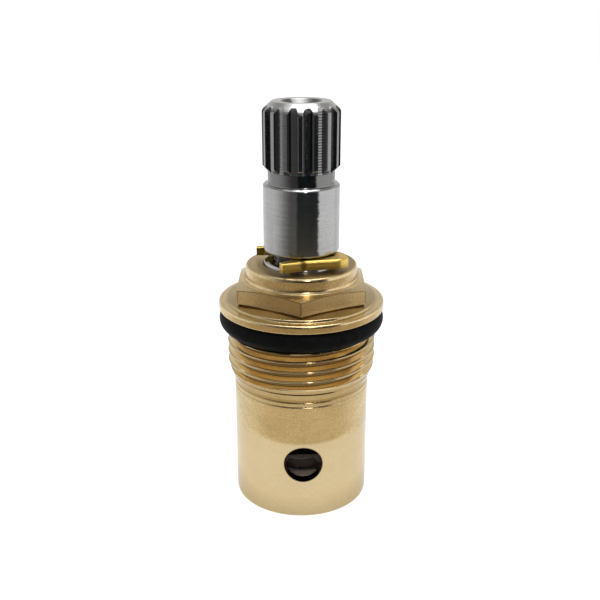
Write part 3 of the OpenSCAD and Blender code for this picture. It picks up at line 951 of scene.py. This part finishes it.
def make_floor():
    """A wide pale floor at the seat end, white to the camera but for the part's shadow."""
    half = 3.0
    bm = bmesh.new()
    corners = [(-half, -half, 0), (half, -half, 0), (half, half, 0), (-half, half, 0)]
    bm.faces.new([bm.verts.new(c) for c in corners])
    floor = finish_mesh(bm, "floor")
    floor.location.z = SEAT_Z * MM - 0.00002
    material, tree, shader = new_material("floor_paper")
    output = tree.nodes["Material Output"]
    tree.nodes.remove(shader)
    plain = add_node(tree, "ShaderNodeBsdfDiffuse", Color=(0.8, 0.8, 0.8, 1))
    soft = add_node(tree, "ShaderNodeBsdfDiffuse", Color=(0.42, 0.42, 0.42, 1))
    glow = add_node(tree, "ShaderNodeEmission", Color=(1, 1, 1, 1), Strength=0.78)
    white = add_node(tree, "ShaderNodeEmission", Color=(1, 1, 1, 1), Strength=1.0)
    seen = add_node(tree, "ShaderNodeAddShader")
    mirrored = add_node(tree, "ShaderNodeMixShader")
    path = add_node(tree, "ShaderNodeLightPath")
    mix = add_node(tree, "ShaderNodeMixShader")
    tree.links.new(soft.outputs[0], seen.inputs[0])
    tree.links.new(glow.outputs[0], seen.inputs[1])
    tree.links.new(background_rays(tree), mix.inputs[0])
    tree.links.new(plain.outputs[0], mix.inputs[1])
    tree.links.new(path.outputs["Is Glossy Ray"], mirrored.inputs[0])
    tree.links.new(seen.outputs[0], mirrored.inputs[1])
    tree.links.new(white.outputs[0], mirrored.inputs[2])
    tree.links.new(mirrored.outputs[0], mix.inputs[2])
    tree.links.new(mix.outputs[0], output.inputs["Surface"])
    paint(floor, material)


def make_card(name, start, end, profile, tones, spread=(0.0, 1.0), colour=(1, 1, 1), fade=(170, 180)):
    """A curved card that only reflections see, turned from a (radius, z) line.

    Start and end are degrees right of the camera. The tone runs from the first to the second
    value between the two distances from the axis in spread, in millimetres, and fades to white
    between the two angles from the front in fade.
    """
    steps = 32
    bm = bmesh.new()
    rows = []
    for radius, z in profile:
        turns = [radians(-90 - CAMERA_TURN + start + (end - start) * i / steps) for i in range(steps + 1)]
        rows.append([bm.verts.new((radius * cos(a) * MM, radius * sin(a) * MM, z * MM)) for a in turns])
    for low, high in zip(rows, rows[1:]):
        for i in range(steps):
            bm.faces.new((low[i], low[i + 1], high[i + 1], high[i]))
    card = finish_mesh(bm, name)
    material, tree, shader = new_material(name)
    output = tree.nodes["Material Output"]
    tree.nodes.remove(shader)
    coords = add_node(tree, "ShaderNodeTexCoord")
    distance = add_node(tree, "ShaderNodeVectorMath", operation="LENGTH")
    tone = add_node(tree, "ShaderNodeMapRange")
    for key, value in zip(("From Min", "From Max", "To Min", "To Max"),
                          (spread[0] * MM, spread[1] * MM, *tones)):
        tone.inputs[key].default_value = value
    split = add_node(tree, "ShaderNodeSeparateXYZ")
    angle = maths(tree, "ARCTAN2", split.outputs["X"], product(tree, split.outputs["Y"], -1))
    side = ranged(tree, maths(tree, "ABSOLUTE", angle), radians(fade[0]), radians(fade[1]))
    glow = add_node(tree, "ShaderNodeEmission", Color=(*colour, 1))
    white = add_node(tree, "ShaderNodeEmission", Color=(1, 1, 1, 1), Strength=1.0)
    mix = add_node(tree, "ShaderNodeMixShader")
    tree.links.new(coords.outputs["Object"], distance.inputs[0])
    tree.links.new(distance.outputs["Value"], tone.inputs["Value"])
    tree.links.new(tone.outputs["Result"], glow.inputs["Strength"])
    tree.links.new(coords.outputs["Object"], split.inputs[0])
    tree.links.new(side, mix.inputs[0])
    tree.links.new(glow.outputs[0], mix.inputs[1])
    tree.links.new(white.outputs[0], mix.inputs[2])
    tree.links.new(mix.outputs[0], output.inputs["Surface"])
    paint(card, material)
    card.visible_camera = False
    card.visible_diffuse = False
    card.visible_shadow = False
    card.visible_transmission = False


def make_world():
    """White to the camera and to metal, softer as a light on everything else."""
    world = bpy.data.worlds.new("studio")
    world.use_nodes = True
    tree = world.node_tree
    sky = tree.nodes["Background"]
    sky.inputs["Color"].default_value = (1, 1, 1, 1)
    strength = remap(tree, background_rays(tree), 0.55, 1.0)
    tree.links.new(strength.outputs["Result"], sky.inputs["Strength"])
    bpy.context.scene.world = world


def make_lamp(name, turn, height, distance, size, power, glints=False):
    """A soft lamp aimed at the part, turned degrees right of the camera; glints show it in metal."""
    light = bpy.data.lights.new(name, "AREA")
    light.shape = "RECTANGLE"
    light.size, light.size_y = size
    light.energy = power
    lamp = bpy.data.objects.new(name, light)
    a = radians(-90 - CAMERA_TURN + turn)
    lamp.location = (distance * cos(a), distance * sin(a), height)
    aim = Vector((0, 0, STEM_TOP * MM / 2)) - lamp.location
    lamp.rotation_euler = aim.to_track_quat("-Z", "Y").to_euler()
    lamp.visible_glossy = glints
    bpy.context.scene.collection.objects.link(lamp)


# Camera, fitted to the round edges of the part in an image 600 pixels square
CAMERA_TURN = 1.75
CAMERA_REACH = 117.17
CAMERA_HEIGHT = 73.03
CAMERA_PITCH = 19.898
CAMERA_YAW = 0.095
CAMERA_LENS = 50.44


def make_camera():
    """The camera at the viewing angle, a little left of the port's axis."""
    camera = bpy.data.objects.new("camera", bpy.data.cameras.new("camera"))
    camera.data.sensor_width = 36
    camera.data.lens = CAMERA_LENS
    camera.data.clip_start = 0.005
    a = radians(CAMERA_TURN)
    camera.location = (-CAMERA_REACH * sin(a) * MM, -CAMERA_REACH * cos(a) * MM, CAMERA_HEIGHT * MM)
    camera.rotation_euler = (radians(90 - CAMERA_PITCH), 0, radians(CAMERA_YAW - CAMERA_TURN))
    bpy.context.scene.collection.objects.link(camera)
    bpy.context.scene.camera = camera


make_camera()
make_floor()
WARM = (1.0, 0.91, 0.72)
HOT = (1.0, 0.78, 0.5)
PALE = (1.0, 0.98, 0.94)
# Painted shadow: a darker ring of floor round the base, seen only in reflections.
make_card("painted_shadow_contact_card", 0, 360, [(10.3, 0.03), (17, 0.03)], (0.74, 1.0), (10, 15), PALE, (200, 210))
make_card("near_table_card", -130, 130, [(31, 0.05), (60, 0.05)], (0.78, 0.7), (31, 60), WARM, (45, 110))
make_card("far_table_card", -160, 160, [(60, 0.05), (140, 0.05)], (0.72, 0.38), (60, 98), HOT, (65, 135))
make_card("left_card", -95, -13, [(112, 1), (112, 150)], (0.13, 0.13), fade=(28, 95))
make_card("dark_card", -13, 51, [(112, 1), (112, 45)], (0.02, 0.02), colour=(0.1, 0.65, 1.0))
make_card("upper_card", -13, 51, [(112, 45), (112, 150)], (0.03, 0.3), (121, 165), PALE)
make_card("right_card", 51, 115, [(112, 1), (112, 90)], (1.2, 1.2))
make_card("strip_card", 10, 16, [(108, 70), (108, 200)], (8.0, 8.0))
make_card("back_card", 130, 230, [(150, 30), (150, 200)], (0.85, 0.42), (150, 230), PALE, (200, 210))
make_card("sky_card", 0, 360, [(152, 150), (165, 330)], (0.4, 0.4), colour=PALE, fade=(200, 210))
make_world()
make_lamp("top_lamp", 142, 0.36, 0.045, (0.19, 0.2), 0.5, glints=True)
make_lamp("shade_lamp", 142, 0.36, 0.045, (0.19, 0.2), 0.4)
make_lamp("port_lamp", -2, 0.118, 0.3, (0.06, 0.06), 0.16)
make_lamp("key_lamp", -60, 0.30, 0.36, (0.2, 0.3), 0.5)
make_lamp("fill_lamp", 75, 0.22, 0.36, (0.2, 0.3), 0.4)

bpy.context.scene.view_settings.view_transform = "Standard"
